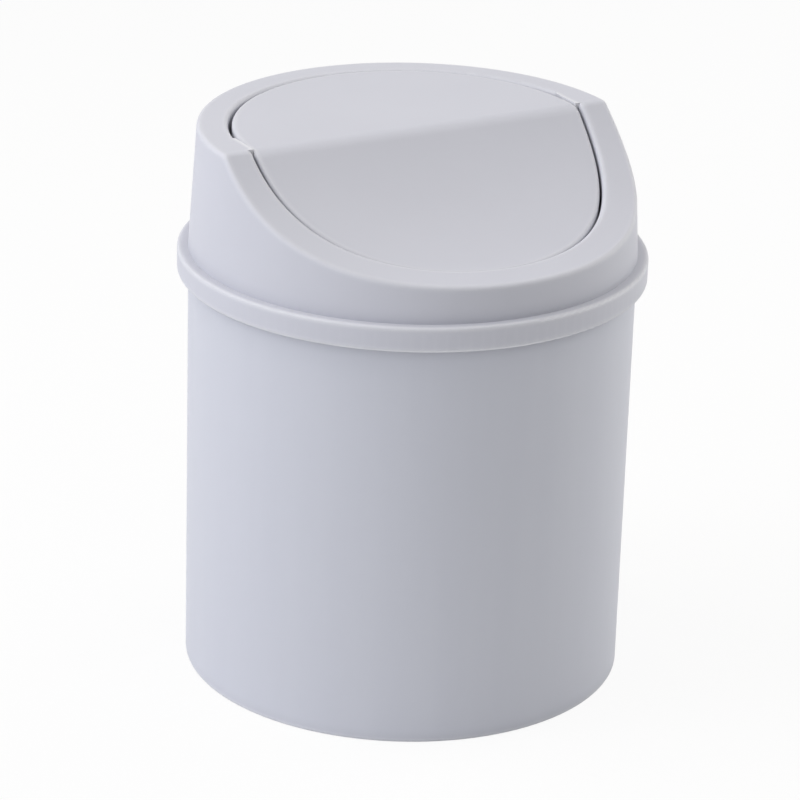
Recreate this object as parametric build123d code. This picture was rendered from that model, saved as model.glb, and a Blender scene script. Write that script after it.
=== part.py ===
from build123d import *

import os
from math import asin, cos, degrees, hypot, radians, sin, sqrt

# Desktop trash can with a lift-off hood lid and a round swing flap.
# Millimetres. The origin is the centre of the base on the table, +Z is up.
# X runs along the flap's ridge and its pivot pins, and -Y is the scooped front.

# Bucket
bucket_base_radius = 61.7      # outside, at the table
bucket_rim_radius = 61.9       # outside, under the rim bead
bucket_height = 120.1
bucket_wall = 1.6
bucket_floor = 2.0
base_edge_round = 0.9          # outside, round the foot
floor_corner_round = 3.0       # inside, wall to floor
foot_ring_width = 4.0          # flat ring that touches the table
foot_recess = 1.2              # how far the floor is raised inside the ring
gate_radius = 3.0              # moulding gate in the middle of the floor's underside
gate_height = 0.5
bead_overhang = 1.3            # how far the rim bead stands out from the wall
bead_height = 2.6
bead_round = 0.8

# Hood lid
seat_gap = 0.3                 # lid to rim bead, above it, around it and inside the mouth
shoulder_thickness = 1.6
skirt_wall = 1.5
skirt_depth = 7.0              # height of the band round the mouth
skirt_top_round = 0.7
skirt_foot_round = 1.2
locating_rib_wall = 1.4
locating_rib_depth = 5.0       # how far the lid reaches into the bucket's mouth
ledge_width = 3.0              # the shoulder left showing outside the hood's foot
hood_draw_in = 2.1             # how much narrower the hood is at its top than at its foot
hood_height = 34.8             # from the shoulder to the flat rear rim
hood_wall = 1.6
hood_edge_round = 1.2          # outside, round the flat and the scooped rim
ridge_forward = 1.9            # ridge line, in front of the middle
ridge_round = 3.0
scoop_slope = 42.0             # degrees below level, where the scoop leaves the ridge
scoop_radius = 98.6
ring_width = 8.55              # flat rear rim, from the hood's outside to the opening
opening_lip_wall = 1.6
opening_edge_round = 1.3

# Swing flap
flap_gap = 0.75                # flap to opening, at the pivots
flap_shift = 0.4               # flap forward of the opening's middle, which narrows the gap in front
flap_sink = 0.3                # flap below the rim's surface
rest_tilt = 1.0                # degrees that the flap rests open, front edge down
flap_plate = 1.8
flap_ridge_round = 6.5
flap_edge_depth = 4.0          # height of the turned-down edge
flap_edge_wall = 1.4
flap_edge_round = 1.1

# Pivots
pivot_back = 4.6               # pivot axis behind the middle
pivot_drop = 5.0               # pivot axis below the flat rear rim
pin_radius = 2.0
pin_length = 3.2
pin_gap = 0.1                  # round the pin in its socket
pin_end_gap = 0.4              # past the pin's end
cheek_radius = 5.4             # socket cheek on the lid, round the axis
cheek_reach = 0.9              # how far the cheek stands into the opening
cheek_thickness = 5.6
cheek_side_gap = 0.15          # cheek's face to the flap's ear
cheek_front_gap = 0.3          # cheek to the ends of the flap's notch
cheek_rear_gap = 0.8
notch_corner_round = 0.2
throat_width = 3.4             # snap-in slot under the socket, narrower than the pin
ear_radius = 4.4               # lug round the pin
ear_thickness = 1.8
cross_rib_thickness = 1.6
cross_rib_reach = 1.6          # how far the rib reaches below the axis

# Rest tabs on the lid, under the flap's rear edge
tab_turn = 45.0                # degrees from straight behind, to each side
tab_width = 8.0
tab_reach = 3.0
tab_thickness = 1.8
tab_gap = 0.3

# Counterweight and its clips
weight_radius = 2.0
weight_length = 50.0
weight_inset = 12.5            # from the flap's rear edge
weight_gap = 0.1               # round the rod in its clips
weight_below_plate = 0.6
clip_pitch = 18.0
clip_count = 3
clip_length = 4.0
clip_wall = 1.3
clip_mouth = 3.2               # slot that the rod snaps through

# Worked out from the sizes above
bead_radius = bucket_rim_radius + bead_overhang
rim_inner_radius = bucket_rim_radius - bucket_wall
shoulder_bottom = bucket_height + seat_gap
shoulder_top = shoulder_bottom + shoulder_thickness
hood_top = shoulder_top + hood_height
skirt_inner_radius = bead_radius + seat_gap
skirt_radius = skirt_inner_radius + skirt_wall
skirt_bottom = shoulder_top - skirt_depth
hood_foot_radius = skirt_radius - ledge_width
hood_top_radius = hood_foot_radius - hood_draw_in
opening_radius = hood_top_radius - ring_width
locating_rib_radius = rim_inner_radius - seat_gap
locating_rib_bottom = shoulder_bottom - locating_rib_depth
scoop_middle_y = -ridge_forward - scoop_radius * sin(radians(scoop_slope))
scoop_middle_z = hood_top + scoop_radius * cos(radians(scoop_slope))
pivot_height = hood_top - pivot_drop
cheek_face = opening_radius - cheek_reach
ear_face = cheek_face - cheek_side_gap
notch_length = cheek_front_gap + 2 * cheek_radius + cheek_rear_gap
notch_middle_y = pivot_back + (cheek_rear_gap - cheek_front_gap) / 2
flap_radius = opening_radius - flap_gap
flap_plate_drop = flap_sink + flap_plate
flap_edge_drop = flap_sink + flap_edge_depth
tab_corner_y = (opening_radius - tab_reach) * cos(radians(tab_turn)) - tab_width / 2 * sin(radians(tab_turn))
tab_lift = (tab_corner_y - pivot_back) * sin(radians(rest_tilt))
tab_top = hood_top - flap_edge_drop + tab_lift - tab_gap
opening_lip_depth = hood_top - tab_top + tab_thickness
plate_bottom = hood_top - flap_plate_drop
weight_back = flap_radius - flap_shift - weight_inset
weight_height = plate_bottom - weight_below_plate - weight_radius
reach = 1.2 * skirt_radius     # past every outline, for cutting solids
surface_margin = ridge_round / 3   # an edge this near the unrounded top surface lies on it


def disc(radius, bottom, top):
    body = Cylinder(radius, top - bottom, align=(Align.CENTER, Align.CENTER, Align.MIN))
    return Pos(0, 0, bottom) * body


def frustum(bottom_radius, top_radius, bottom, top):
    body = Cone(bottom_radius, top_radius, top - bottom, align=(Align.CENTER, Align.CENTER, Align.MIN))
    return Pos(0, 0, bottom) * body


def flap_disc(radius):
    """A round blank about the middle of the flap."""
    return Pos(0, -flap_shift, 0) * disc(radius, shoulder_top, hood_top)


def ring_edges(shape, radius, height):
    """The circular edges of a round solid at one radius and height."""
    circles = shape.edges().filter_by(GeomType.CIRCLE)
    return circles.filter_by(lambda e: abs(e.radius - radius) < 0.01 and abs(e.center().Z - height) < 0.01)


def along_x(sketch, start, thickness):
    """A sketch drawn in Y and Z, made solid from one X on."""
    return Pos(start, 0, 0) * extrude(Plane.YZ * sketch, thickness)


def both_sides(shape):
    return shape + mirror(shape, Plane.YZ)


def ridge_at(drop):
    """Where the flat top and the scoop meet, once both are lowered square to themselves by drop."""
    flat = hood_top - drop
    return scoop_middle_y + sqrt((scoop_radius + drop) ** 2 - (scoop_middle_z - flat) ** 2), flat


def under_surface(drop, rounding):
    """All that lies under the lid's top surface, lowered square to itself by drop: a prism along X."""
    radius = scoop_radius + drop
    ridge_y, flat = ridge_at(drop)
    ridge_angle = degrees(asin((ridge_y - scoop_middle_y) / radius)) - 90
    front_angle = degrees(asin((-reach - scoop_middle_y) / radius)) - 90
    scoop = CenterArc((scoop_middle_y, scoop_middle_z), radius, front_angle, ridge_angle - front_angle)
    front = scoop @ 0
    rest = Polyline((ridge_y, flat), (reach, flat), (reach, 0), (-reach, 0), (front.X, front.Y))
    face = make_face([scoop, rest])
    ridge = face.vertices().sort_by_distance((ridge_y, flat, 0))[0]
    face = fillet(ridge, rounding)
    return extrude(Plane.YZ * face, reach, both=True)


def top_edges(shape, drop, radius):
    """The edges at one distance from the axis along the lid's top surface, lowered square to itself by drop."""
    def matches(edge):
        middle = edge @ 0.5
        ridge_y, flat = ridge_at(drop)
        height = flat
        if middle.Y < ridge_y:
            height = scoop_middle_z - sqrt((scoop_radius + drop) ** 2 - (middle.Y - scoop_middle_y) ** 2)
        on_circle = abs(hypot(middle.X, middle.Y) - radius) < hood_draw_in
        return on_circle and abs(middle.Z - height) < surface_margin
    return shape.edges().filter_by(matches)


def bucket():
    taper = (bucket_rim_radius - bucket_base_radius) / bucket_height
    floor_top = foot_recess + bucket_floor
    floor_radius = bucket_base_radius + taper * floor_top - bucket_wall
    outside = frustum(bucket_base_radius, bucket_rim_radius, 0, bucket_height)
    outside = fillet(ring_edges(outside, bucket_base_radius, 0), base_edge_round)
    inside = frustum(floor_radius, rim_inner_radius, floor_top, bucket_height)
    inside = fillet(ring_edges(inside, floor_radius, floor_top), floor_corner_round)
    bead = disc(bead_radius, bucket_height - bead_height, bucket_height)
    bead = fillet(bead.edges().filter_by(GeomType.CIRCLE), bead_round)
    recess = disc(bucket_base_radius - base_edge_round - foot_ring_width, 0, foot_recess)
    gate = disc(gate_radius, foot_recess - gate_height, foot_recess)
    return outside + bead - inside - recess + gate


def hung_shape(radius, y, z, top):
    """A round end about an axis along X, carried straight up to what it hangs from."""
    return Pos(y, z) * Circle(radius) + Pos(y, (z + top) / 2) * Rectangle(2 * radius, top - z)


def pivot_socket():
    """The hole for the pin and the snap-in throat below it, on the +X side."""
    bore = Pos(pivot_back, pivot_height) * Circle(pin_radius + pin_gap)
    throat_drop = 2 * cheek_radius
    throat = Pos(pivot_back, pivot_height - throat_drop / 2) * Rectangle(throat_width, throat_drop)
    return along_x(bore + throat, ear_face, pin_length + pin_end_gap)


def pivot_cheek():
    """The cheek on the +X side that takes the pin."""
    sketch = hung_shape(cheek_radius, pivot_back, pivot_height, hood_top)
    return along_x(sketch, cheek_face, cheek_thickness) & under_surface(0, ridge_round)


def rest_tab(turn):
    """A tab for the flap's rear edge to rest on, at an angle from straight behind."""
    length = tab_reach + opening_lip_wall
    block = Box(tab_width, length, tab_thickness, align=(Align.CENTER, Align.MIN, Align.MAX))
    return Rot(0, 0, turn) * Pos(0, opening_radius - tab_reach, tab_top) * block


def hood_shell():
    outside = frustum(hood_foot_radius, hood_top_radius, shoulder_top, hood_top)
    outside &= under_surface(0, ridge_round)
    outside = fillet(top_edges(outside, 0, hood_top_radius), hood_edge_round)
    inside = frustum(hood_foot_radius - hood_wall, hood_top_radius - hood_wall, shoulder_top, hood_top)
    return outside - (inside & under_surface(hood_wall, ridge_round - hood_wall))


def shoulder_and_skirt():
    skirt = disc(skirt_radius, skirt_bottom, shoulder_top)
    skirt = fillet(ring_edges(skirt, skirt_radius, shoulder_top), skirt_top_round)
    skirt = fillet(ring_edges(skirt, skirt_radius, skirt_bottom), skirt_foot_round)
    skirt -= disc(skirt_inner_radius, skirt_bottom, shoulder_bottom)
    skirt += disc(locating_rib_radius, locating_rib_bottom, shoulder_bottom)
    return skirt - disc(locating_rib_radius - locating_rib_wall, locating_rib_bottom, shoulder_top)


def lid_hood():
    lip = disc(opening_radius + opening_lip_wall, shoulder_top, hood_top) & under_surface(0, ridge_round)
    lip -= under_surface(opening_lip_depth, ridge_round)
    hood = hood_shell() + shoulder_and_skirt() + lip
    hood -= disc(opening_radius, shoulder_top, hood_top)
    hood = fillet(top_edges(hood, 0, opening_radius), opening_edge_round)
    hood += both_sides(pivot_cheek())
    hood -= both_sides(pivot_socket())
    return hood + rest_tab(tab_turn) + rest_tab(-tab_turn)


def flap_notches(edge_inset, ear_inset):
    """The two notches for the cheeks, cut larger by a wall at their ends and at the flap's ears."""
    depth = 2 * (flap_radius - ear_face + ear_inset)
    notch = RectangleRounded(depth, notch_length + 2 * edge_inset, notch_corner_round)
    sketch = Pos(ear_face - ear_inset + depth / 2, notch_middle_y) * notch
    return both_sides(Pos(0, 0, shoulder_top) * extrude(sketch, hood_height))


def weight_clip(x):
    """A moulded clip that holds the rod under the plate."""
    radius = weight_radius + weight_gap
    outer = hung_shape(radius + clip_wall, weight_back, weight_height, plate_bottom)
    bore = Pos(weight_back, weight_height) * Circle(radius)
    mouth_drop = 2 * radius
    mouth = Pos(weight_back, weight_height - mouth_drop / 2) * Rectangle(clip_mouth, mouth_drop)
    return along_x(outer - bore - mouth, x - clip_length / 2, clip_length)


def tilted_to_rest(shape):
    """Turns a piece that is level with the rim about the pivot axis, to where it comes to rest."""
    return shape.rotate(Axis((0, pivot_back, pivot_height), (1, 0, 0)), rest_tilt)


def flap_shell():
    flap = flap_disc(flap_radius) & under_surface(flap_sink, flap_ridge_round)
    flap -= under_surface(flap_edge_drop, flap_ridge_round - flap_edge_depth)
    flap = fillet(top_edges(flap, flap_sink, flap_radius), flap_edge_round)
    hollow = flap_disc(flap_radius - flap_edge_wall) - flap_notches(flap_edge_wall, ear_thickness)
    hollow &= under_surface(flap_plate_drop, flap_ridge_round - flap_plate)
    return flap - flap_notches(0, 0) - hollow


def swing_flap():
    lug = hung_shape(ear_radius, pivot_back, pivot_height, plate_bottom)
    pin = Pos(pivot_back, pivot_height) * Circle(pin_radius)
    flap = flap_shell() + both_sides(along_x(lug, ear_face - ear_thickness, ear_thickness))
    flap += both_sides(along_x(pin, ear_face, pin_length))
    rib_height = plate_bottom - pivot_height + cross_rib_reach
    rib = Box(2 * (ear_face - ear_thickness), cross_rib_thickness, rib_height,
              align=(Align.CENTER, Align.CENTER, Align.MAX))
    flap += Pos(0, pivot_back, plate_bottom) * rib
    for number in range(clip_count):
        flap += weight_clip((number - (clip_count - 1) / 2) * clip_pitch)
    return tilted_to_rest(flap)


def counterweight():
    rod = Rot(0, 90, 0) * Cylinder(weight_radius, weight_length)
    return tilted_to_rest(Pos(0, weight_back, weight_height) * rod)


parts = {
    "bucket": bucket(),
    "lid_hood": lid_hood(),
    "swing_flap": swing_flap(),
    "counterweight": counterweight(),
}
os.makedirs("parts", exist_ok=True)
for name, shape in parts.items():
    export_step(shape, f"parts/{name}.step")
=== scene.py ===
# Desktop trash can: a round bucket, a lift-off hood lid and a swing flap.
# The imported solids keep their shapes. This file gives them their finishes
# and sets the camera, floor and light.
from math import atan2, cos, radians, sin

import bpy
from mathutils import Matrix, Vector

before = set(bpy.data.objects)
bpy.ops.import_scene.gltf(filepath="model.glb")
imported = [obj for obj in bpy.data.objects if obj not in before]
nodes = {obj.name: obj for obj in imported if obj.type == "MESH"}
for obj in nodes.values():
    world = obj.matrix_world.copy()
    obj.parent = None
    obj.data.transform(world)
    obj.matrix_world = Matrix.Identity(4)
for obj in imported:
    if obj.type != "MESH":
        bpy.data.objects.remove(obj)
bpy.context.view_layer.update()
print("frame loaded:", ", ".join(sorted(nodes)))

millimetre = 0.001


def linear(hexColour):
    channels = [int(hexColour[i:i + 2], 16) / 255 for i in (1, 3, 5)]
    return tuple(c / 12.92 if c <= 0.04045 else ((c + 0.055) / 1.055) ** 2.4 for c in channels) + (1,)


def addNode(tree, kind, settings=None, values=None, links=None):
    node = tree.nodes.new(kind)
    for name, value in (settings or {}).items():
        setattr(node, name, value)
    for socket, value in (values or {}).items():
        node.inputs[socket].default_value = value
    for socket, source in (links or {}).items():
        tree.links.new(source, node.inputs[socket])
    return node


def newMaterial(name):
    material = bpy.data.materials.new(name)
    material.use_nodes = True
    material.node_tree.nodes.clear()
    return material, material.node_tree


def finishMaterial(tree, shader):
    addNode(tree, "ShaderNodeOutputMaterial", links={"Surface": shader})


def dress(nodeName, material):
    mesh = nodes[nodeName].data
    for index in range(len(mesh.materials)):
        mesh.materials[index] = material


# Plastic of the lid and the flap
lidPlastic = {
    "colour": "#CBCCD5",
    "cloudColour": "#C7C8D1",        # the pigment lies a touch unevenly in the melt
    "paintedShadeColour": "#BCBDC6",       # painted shade in corners and creases, where less light reaches
    "paintedShadeReach": 4 * millimetre,
    "paintedHighlightColour": "#FFFFFF",          # painted highlight: rounded rims are painted lighter
    "paintedHighlightReach": 1.5 * millimetre,    # reach of the painted highlight, less than the 1.6 mm walls, so their flat places stay plain
    "paintedHighlightMost": 0.35,                 # the largest share of painted highlight, where an edge is thinner still
    "probes": 8,                     # rays that feel for corners and rims, for the painted shade and painted highlight
    "cloudSize": 30 * millimetre,
    "cloudDetail": 3.0,
    "flowStretch": 1,                # how much longer than wide the clouds are, upright
    "roughness": (0.46, 0.54),       # where the melt took the mould's grain well, and where it didn't
    "ior": 1.49,
    "specular": 0.25,                # half the usual value, so the flat top isn't white in low views
    "grainSize": 0.6 * millimetre,   # a real mould's grain is near 0.2 mm, drawn coarser to show
    "grainDetail": 1.0,
    "grainDepth": 0.008 * millimetre,
    "waveSize": 24 * millimetre,     # shallow sink, where a wall cooled unevenly
    "waveDetail": 0.0,
    "waveDepth": 0.04 * millimetre,
}
# The bucket fills from the gate under its floor, so its pigment lies in faint upright streaks.
bucketPlastic = {**lidPlastic, "colour": "#CDCFD8", "cloudColour": "#C9CBD5",
                 "cloudSize": 9 * millimetre, "flowStretch": 14}


def mouldedPolypropylene(name, look):
    # Polypropylene injection-moulded in a finely spark-eroded mould: satin, a little waxy,
    # with broad soft highlights.
    material, tree = newMaterial(name)
    place = addNode(tree, "ShaderNodeTexCoord").outputs["Object"]
    flow = addNode(tree, "ShaderNodeMapping", values={"Scale": (1, 1, 1 / look["flowStretch"])},
                   links={"Vector": place})
    clouds = addNode(tree, "ShaderNodeTexNoise",
                     values={"Scale": 1 / look["cloudSize"], "Detail": look["cloudDetail"]},
                     links={"Vector": flow.outputs["Vector"]}).outputs["Fac"]
    colour = addNode(tree, "ShaderNodeMix", settings={"data_type": "RGBA"},
                     values={"A": linear(look["colour"]), "B": linear(look["cloudColour"])},
                     links={"Factor": clouds}).outputs["Result"]
    # Painted shade: the colour turns darker in corners and creases, where less light reaches.
    shadeProbe = addNode(tree, "ShaderNodeAmbientOcclusion", settings={"samples": look["probes"]},
                      values={"Distance": look["paintedShadeReach"]})
    withPaintedShade = addNode(tree, "ShaderNodeMix", settings={"data_type": "RGBA"},
                   values={"A": linear(look["paintedShadeColour"])},
                   links={"Factor": shadeProbe.outputs["AO"], "B": colour})
    # Painted highlight: thin rounded rims and edges are painted lighter, towards white.
    depth = addNode(tree, "ShaderNodeAmbientOcclusion",
                    settings={"samples": look["probes"], "inside": True},
                    values={"Distance": look["paintedHighlightReach"]})
    unhighlightedShare = addNode(tree, "ShaderNodeMath", settings={"operation": "MAXIMUM"},
                    values={1: 1 - look["paintedHighlightMost"]}, links={0: depth.outputs["AO"]})
    withPaintedHighlight = addNode(tree, "ShaderNodeMix", settings={"data_type": "RGBA"},
                     values={"A": linear(look["paintedHighlightColour"])},
                     links={"Factor": unhighlightedShare.outputs[0], "B": withPaintedShade.outputs["Result"]})
    smooth, rough = look["roughness"]
    roughness = addNode(tree, "ShaderNodeMapRange", values={"To Min": smooth, "To Max": rough},
                        links={"Value": clouds})
    waves = addNode(tree, "ShaderNodeTexNoise",
                    values={"Scale": 1 / look["waveSize"], "Detail": look["waveDetail"]},
                    links={"Vector": place})
    sink = addNode(tree, "ShaderNodeBump", values={"Strength": 1.0, "Distance": look["waveDepth"]},
                   links={"Height": waves.outputs["Fac"]})
    grain = addNode(tree, "ShaderNodeTexNoise",
                    values={"Scale": 1 / look["grainSize"], "Detail": look["grainDetail"]},
                    links={"Vector": place})
    bump = addNode(tree, "ShaderNodeBump", values={"Strength": 1.0, "Distance": look["grainDepth"]},
                   links={"Height": grain.outputs["Fac"], "Normal": sink.outputs["Normal"]})
    shader = addNode(tree, "ShaderNodeBsdfPrincipled",
                     values={"IOR": look["ior"], "Specular IOR Level": look["specular"]},
                     links={"Base Color": withPaintedHighlight.outputs["Result"],
                            "Roughness": roughness.outputs["Result"],
                            "Normal": bump.outputs["Normal"]})
    finishMaterial(tree, shader.outputs["BSDF"])
    return material


# Steel of the counterweight
steel = {
    "colour": "#B9B7B2",
    "roughness": 0.32,
    "dieLineSpacing": 0.2 * millimetre,   # real die lines are finer, drawn coarser to show
    "dieLineStretch": 50,            # how much longer a line is than it is wide
    "dieLineDepth": 0.004 * millimetre,
    "dieLineDetail": 2.0,
}


def drawnSteel(name, look):
    # Bright drawn steel rod: the die leaves fine lines along it, so its highlight is a long soft streak.
    material, tree = newMaterial(name)
    place = addNode(tree, "ShaderNodeTexCoord").outputs["Object"]
    stretched = addNode(tree, "ShaderNodeMapping", values={"Scale": (1 / look["dieLineStretch"], 1, 1)},
                        links={"Vector": place})
    lines = addNode(tree, "ShaderNodeTexNoise",
                    values={"Scale": 1 / look["dieLineSpacing"], "Detail": look["dieLineDetail"]},
                    links={"Vector": stretched.outputs["Vector"]})
    bump = addNode(tree, "ShaderNodeBump", values={"Strength": 1.0, "Distance": look["dieLineDepth"]},
                   links={"Height": lines.outputs["Fac"]})
    shader = addNode(tree, "ShaderNodeBsdfPrincipled",
                     values={"Base Color": linear(look["colour"]), "Metallic": 1.0,
                             "Roughness": look["roughness"]},
                     links={"Normal": bump.outputs["Normal"]})
    finishMaterial(tree, shader.outputs["BSDF"])
    return material


lidPolypropylene = mouldedPolypropylene("lidPolypropylene", lidPlastic)
dress("lid_hood", lidPolypropylene)
dress("swing_flap", lidPolypropylene)
dress("bucket", mouldedPolypropylene("bucketPolypropylene", bucketPlastic))
dress("counterweight", drawnSteel("drawnSteel", steel))
print("plastic and steel applied")

# Floor and surroundings
surroundings = {
    "floorSide": 6.0,
    "floorColour": "#F2F2F2",
    "floorGlow": 0.90,          # share of plain white in the floor that is seen, the rest takes the shadow
    "white": "#FFFFFF",
    "fillColour": "#F9FBFF",
    "fillStrength": 0.23,       # soft light from all round, on matt surfaces
}


def seenDirectly(tree):
    # 1 for what the camera sees straight, in a reflection or through something clear
    path = addNode(tree, "ShaderNodeLightPath")
    glossy = addNode(tree, "ShaderNodeMath", settings={"operation": "MAXIMUM"},
                     links={0: path.outputs["Is Camera Ray"], 1: path.outputs["Is Glossy Ray"]})
    clear = addNode(tree, "ShaderNodeMath", settings={"operation": "MAXIMUM"},
                    links={0: glossy.outputs[0], 1: path.outputs["Is Transmission Ray"]})
    return clear.outputs[0]


def studioPaper(name, look):
    # A sweep of matt white coated paper: it glows to nearly plain white
    # and keeps a soft shadow at the foot.
    material, tree = newMaterial(name)
    lit = addNode(tree, "ShaderNodeBsdfDiffuse", values={"Color": linear(look["floorColour"])})
    glow = addNode(tree, "ShaderNodeEmission", values={"Color": linear(look["white"]), "Strength": 1.0})
    share = addNode(tree, "ShaderNodeMath", settings={"operation": "MULTIPLY"},
                    values={1: look["floorGlow"]}, links={0: seenDirectly(tree)})
    mixed = addNode(tree, "ShaderNodeMixShader",
                    links={"Fac": share.outputs[0], 1: lit.outputs[0], 2: glow.outputs[0]})
    finishMaterial(tree, mixed.outputs[0])
    return material


def layFloor(look):
    half = look["floorSide"] / 2
    mesh = bpy.data.meshes.new("studioFloor")
    corners = [(-half, -half, 0), (half, -half, 0), (half, half, 0), (-half, half, 0)]
    mesh.from_pydata(corners, [], [(0, 1, 2, 3)])
    mesh.materials.append(studioPaper("studioPaper", look))
    floor = bpy.data.objects.new("studioFloor", mesh)
    bpy.context.scene.collection.objects.link(floor)


def setWorld(look):
    world = bpy.data.worlds.new("studioWorld")
    world.use_nodes = True
    tree = world.node_tree
    tree.nodes.clear()
    fill = addNode(tree, "ShaderNodeBackground",
                   values={"Color": linear(look["fillColour"]), "Strength": look["fillStrength"]})
    backdrop = addNode(tree, "ShaderNodeBackground",
                       values={"Color": linear(look["white"]), "Strength": 1.0})
    mixed = addNode(tree, "ShaderNodeMixShader",
                    links={"Fac": seenDirectly(tree), 1: fill.outputs[0], 2: backdrop.outputs[0]})
    addNode(tree, "ShaderNodeOutputWorld", links={"Surface": mixed.outputs[0]})
    bpy.context.scene.world = world


layFloor(surroundings)
setWorld(surroundings)
print("floor and world set")

# Camera
camera = {
    "place": (-0.4920, -0.8476, 0.4669),
    "target": (-0.00196, 0.00113, 0.07598),
    "lens": 169.286,
    "sensorWidth": 36,
    "nearest": 0.05,
    "roll": 1.766,              # degrees
}


def setCamera(look):
    data = bpy.data.cameras.new("photoCamera")
    data.sensor_fit = "HORIZONTAL"
    data.sensor_width = look["sensorWidth"]
    data.lens = look["lens"]
    data.clip_start = look["nearest"]
    place = Vector(look["place"])
    turn = (place - Vector(look["target"])).to_track_quat("Z", "Y").to_matrix().to_4x4()
    roll = Matrix.Rotation(radians(look["roll"]), 4, "Z")
    photoCamera = bpy.data.objects.new("photoCamera", data)
    photoCamera.matrix_world = Matrix.Translation(place) @ turn @ roll
    bpy.context.scene.collection.objects.link(photoCamera)
    bpy.context.scene.camera = photoCamera


setCamera(camera)
bpy.context.scene.view_settings.view_transform = "Standard"
print("camera set")

# Softboxes round the can, cooler on the left, as by a window. A turn is in degrees from the camera,
# to its right, and a rise is from level.
softboxes = {
    "leftFront": {"turn": -60, "rise": 19.8, "watts": 6.2, "colour": "#F4F7FF"},
    "leftHigh": {"turn": -90, "rise": 50, "watts": 7.9, "colour": "#FFFEFD"},
    "rightFrontHigh": {"turn": 45, "rise": 50, "watts": 2.4, "colour": "#FFFDF6"},
    "rightBack": {"turn": 120, "rise": 19.8, "watts": 7.4, "colour": "#FFFEFA"},
    "overhead": {"turn": 0, "rise": 89, "watts": 3.6, "colour": "#FFF9EF"},
}
softboxShape = {
    "side": 1.0,
    "distance": 1.3,            # from the middle of the can
    "aimHeight": 0.08,
}


def hangSoftbox(name, look, shape):
    light = bpy.data.lights.new(name, "AREA")
    light.shape = "SQUARE"
    light.size = shape["side"]
    light.color = linear(look["colour"])[:3]
    light.energy = look["watts"]
    bearing = atan2(camera["place"][1], camera["place"][0]) + radians(look["turn"])
    rise = radians(look["rise"])
    away = Vector((cos(bearing) * cos(rise), sin(bearing) * cos(rise), sin(rise)))
    place = Vector((0, 0, shape["aimHeight"])) + shape["distance"] * away
    lamp = bpy.data.objects.new(name, light)
    lamp.matrix_world = Matrix.Translation(place) @ away.to_track_quat("Z", "Y").to_matrix().to_4x4()
    bpy.context.scene.collection.objects.link(lamp)


for softboxName, softboxLook in softboxes.items():
    hangSoftbox(softboxName, softboxLook, softboxShape)
print("softboxes hung:", len(softboxes))
